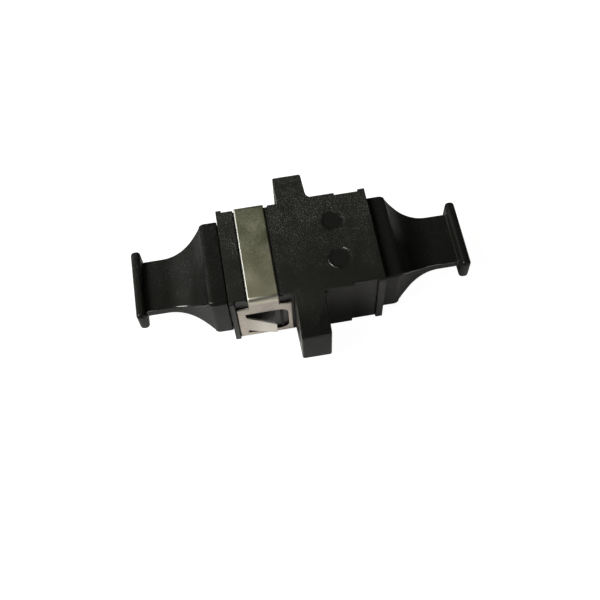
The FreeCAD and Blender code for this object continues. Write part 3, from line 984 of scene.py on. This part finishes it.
@dataclass
class Studio:
    """Camera, lights, floor and surroundings.

    The camera's target shows at centre_pixel. Each room_ pair is one part of a direction, -1 to 1, and
    the level of light there.
    """

    azimuth: float = -6.43
    elevation: float = 62.95
    roll: float = -3.54
    distance: float = 104.8 * MM
    focal_pixels: float = 870.9
    centre_pixel: tuple[float, float] = (299.7, 264.3)
    image_size: int = 600
    target_height: float = 4.65 * MM
    sensor_width: float = 36.0
    clip_start: float = 1 * MM
    clip_end: float = 20.0
    room_left: tuple[float, float] = (-0.3, 0.36)
    room_right: tuple[float, float] = (0.18, 0.015)
    room_near: tuple[float, float] = (-0.25, 0.10)
    room_middle: tuple[float, float] = (0.35, 1.0)
    room_far: tuple[float, float] = (0.85, 0.5)
    room_low: tuple[float, float] = (0.15, 0.35)
    room_high: tuple[float, float] = (0.8, 0.9)
    room_colour: Colour = (0.98, 1.0, 0.72)
    paper_size: float = 3.0
    paper_drop: float = 0.01 * MM
    paper_colour: Colour = (0.74, 0.73, 0.72)
    # Colour of the bounce paper's near side: painted shade.
    front_shade_colour: Colour = (0.36, 0.355, 0.35)
    floor_colour: Colour = (0.3, 0.3, 0.3)
    floor_glow: float = 0.97
    cove_radius: float = 1.0
    cove_curve: float = 0.5
    cove_height: float = 2.0
    cove_steps: int = 12
    cove_turn_steps: int = 64
    cove_weld: float = 1 * MM
    window_place: Vector = field(default_factory=lambda: Vector((-0.42, -0.04, 0.44)))
    window_size: float = 0.3
    window_power: float = 3.9
    window_colour: Colour = (1.0, 1.0, 0.97)
    fill_place: Vector = field(default_factory=lambda: Vector((0.30, -0.50, 0.07)))
    fill_size: float = 0.4
    fill_power: float = 1.0

    def target(self) -> Vector:
        """The point that the camera and the lights face."""
        return Vector((0, 0, self.target_height))

    def camera(self) -> None:
        """Sets the camera where the photograph was taken."""
        turn, rise, roll = (math.radians(angle) for angle in (self.azimuth, self.elevation, self.roll))
        back = Vector((math.sin(turn) * math.cos(rise), -math.cos(turn) * math.cos(rise),
                       math.sin(rise)))
        level = Vector((math.cos(turn), math.sin(turn), 0))
        upright = back.cross(level)
        right = math.cos(roll) * level + math.sin(roll) * upright
        up = -math.sin(roll) * level + math.cos(roll) * upright
        middle = self.image_size / 2
        pixel = self.distance / self.focal_pixels
        place = (self.target() + back * self.distance
                 - right * (self.centre_pixel[0] - middle) * pixel
                 + up * (self.centre_pixel[1] - middle) * pixel)
        lens = bpy.data.cameras.new("photo_camera")
        lens.sensor_width = self.sensor_width
        lens.lens = self.focal_pixels / self.image_size * lens.sensor_width
        lens.clip_start = self.clip_start
        lens.clip_end = self.clip_end
        camera = bpy.data.objects.new("photo_camera", lens)
        camera.matrix_world = Matrix.Translation(place) @ Matrix((right, up, back)).transposed().to_4x4()
        bpy.context.scene.collection.objects.link(camera)
        bpy.context.scene.camera = camera

    def lamp(self, name: str, place: Vector, size: float, power: float,
             colour: Colour = (1.0, 1.0, 1.0)) -> None:
        """A square soft light that faces the adapter.

        Args:
            name: the light's name.
            place: where it hangs, in metres.
            size: metres along its side.
            power: watts.
            colour: its colour.
        """
        light = bpy.data.lights.new(name, "AREA")
        light.size = size
        light.energy = power
        light.color = colour
        lamp = bpy.data.objects.new(name, light)
        lamp.location = place
        lamp.rotation_euler = (self.target() - place).to_track_quat("-Z", "Y").to_euler()
        bpy.context.scene.collection.objects.link(lamp)

    def slope(self, tree: bpy.types.NodeTree, value: Socket, start: tuple[float, float],
              end: tuple[float, float]) -> Socket:
        """A value that runs from one level to another across the room.

        Args:
            tree: the world's nodes.
            value: one part of the direction, -1 to 1.
            start: the part's value and the level there.
            end: the part's value and the level there.

        Returns:
            The level.
        """
        node = tree.nodes.new("ShaderNodeMapRange")
        for name, number in (("From Min", start[0]), ("To Min", start[1]), ("From Max", end[0]),
                             ("To Max", end[1])):
            node.inputs[name].default_value = number
        tree.links.new(value, node.inputs["Value"])
        return node.outputs["Result"]

    def surroundings(self) -> None:
        """A dim room, lighter on the left and beyond the adapter."""
        world = bpy.data.worlds.new("studio_room")
        world.use_nodes = True
        tree = world.node_tree
        background = tree.nodes["Background"]
        direction = tree.nodes.new("ShaderNodeTexCoord").outputs["Generated"]
        parts = tree.nodes.new("ShaderNodeSeparateXYZ")
        tree.links.new(direction, parts.inputs["Vector"])
        across = self.slope(tree, parts.outputs["X"], self.room_left, self.room_right)
        towards = self.slope(tree, parts.outputs["Y"], self.room_near, self.room_middle)
        beyond = self.slope(tree, parts.outputs["Y"], self.room_middle, self.room_far)
        upward = self.slope(tree, parts.outputs["Z"], self.room_low, self.room_high)
        level = across
        for factor in (towards, beyond, upward):
            product = tree.nodes.new("ShaderNodeMath")
            product.operation = "MULTIPLY"
            tree.links.new(level, product.inputs[0])
            tree.links.new(factor, product.inputs[1])
            level = product.outputs["Value"]
        tree.links.new(level, background.inputs["Strength"])
        background.inputs["Color"].default_value = (*self.room_colour, 1.0)
        bpy.context.scene.world = world

    def bounce_paper(self) -> None:
        """The white paper under the adapter as the light and the reflections meet it."""
        half = self.paper_size / 2
        mesh = bpy.data.meshes.new("bounce_paper")
        corners = [(across * half, along * half, -self.paper_drop)
                   for across, along in ((-1, -1), (1, -1), (1, 1), (-1, 1))]
        mesh.from_pydata(corners, [], [(0, 1, 2, 3)])
        finish = StudioPaper("bounce_paper", self.paper_colour, front_shade_colour=self.front_shade_colour)
        mesh.materials.append(finish.material())
        paper = bpy.data.objects.new("bounce_paper", mesh)
        paper.visible_camera = False
        bpy.context.scene.collection.objects.link(paper)

    def cove(self) -> None:
        """The floor and backdrop that the camera sees: a pale disc that curves up into a wall."""
        work = bmesh.new()
        profile = [Vector((0, 0, 0)), Vector((self.cove_radius, 0, 0))]
        for step in range(1, self.cove_steps + 1):
            angle = math.pi / 2 * step / self.cove_steps
            profile.append(Vector((self.cove_radius + self.cove_curve * math.sin(angle), 0,
                                   self.cove_curve * (1 - math.cos(angle)))))
        profile.append(profile[-1] + Vector((0, 0, self.cove_height)))
        points = [work.verts.new(point) for point in profile]
        edges = [work.edges.new(pair) for pair in zip(points, points[1:])]
        bmesh.ops.spin(work, geom=points + edges, cent=(0, 0, 0), axis=(0, 0, 1), angle=math.tau,
                       steps=self.cove_turn_steps)
        bmesh.ops.remove_doubles(work, verts=work.verts, dist=self.cove_weld)
        for face in work.faces:
            face.smooth = True
        mesh = bpy.data.meshes.new("studio_floor")
        work.to_mesh(mesh)
        work.free()
        mesh.materials.append(StudioPaper("studio_floor", self.floor_colour, self.floor_glow).material())
        floor = bpy.data.objects.new("studio_floor", mesh)
        floor.visible_diffuse = False
        floor.visible_glossy = False
        floor.visible_transmission = False
        floor.visible_shadow = False
        bpy.context.scene.collection.objects.link(floor)

    def build(self) -> None:
        """Sets up camera, room, floor and light."""
        self.camera()
        self.surroundings()
        self.bounce_paper()
        self.cove()
        self.lamp("window_light", self.window_place, self.window_size, self.window_power,
                  self.window_colour)
        self.lamp("fill_light", self.fill_place, self.fill_size, self.fill_power)
        bpy.context.scene.view_settings.view_transform = "Standard"


def main() -> None:
    """Builds the studio and the adapter."""
    logging.basicConfig(level=logging.INFO, format="%(name)s: %(message)s")
    Studio().build()
    # The caps are one moulding in two finishes: the rear cap's paler specks are partly painted sparkle.
    lit_cap_finish = BlackMoulding("lit_cap_black_plastic", dark=(0.0075, 0.0075, 0.007),
                            speck_and_sparkle=(0.036, 0.036, 0.034), gloss=0.25, grain=0.22 * MM,
                            grain_depth=0.05 * MM, smooth=0.33, rough=0.46).material()
    # The front cap's fainter, darker specks are painted shade, as it lies in the housing's shadow.
    smooth = BlackMoulding("shaded_cap_black_plastic", dark=(0.008, 0.008, 0.0075),
                           speck_and_sparkle=(0.024, 0.024, 0.022), gloss=0.2, grain=0.2 * MM,
                           grain_depth=0.01 * MM, smooth=0.33, rough=0.46).material()
    polished = BlackMoulding("polished_parting_edge", dark=(0.006, 0.006, 0.006),
                             speck_and_sparkle=(0.02, 0.02, 0.02), gloss=1.0, grain=0.3 * MM,
                             grain_depth=0.01 * MM, smooth=0.16, rough=0.26).material()
    sub_assemblies = [
        Housing(),
        LatchHooks(),
        PanelClip(),
        DustCap("rear_dust_cap", Body.REAR_CAP, toward_housing=0.06 * MM, finishes=(lit_cap_finish, polished)),
        DustCap("front_dust_cap", Body.FRONT_CAP, toward_housing=0.09 * MM, finishes=(smooth, polished)),
    ]
    for sub_assembly in sub_assemblies:
        for piece in sub_assembly.build():
            LOG.info("built %s with %d faces", piece.name, len(piece.data.polygons))


if __name__ == "__main__":
    main()
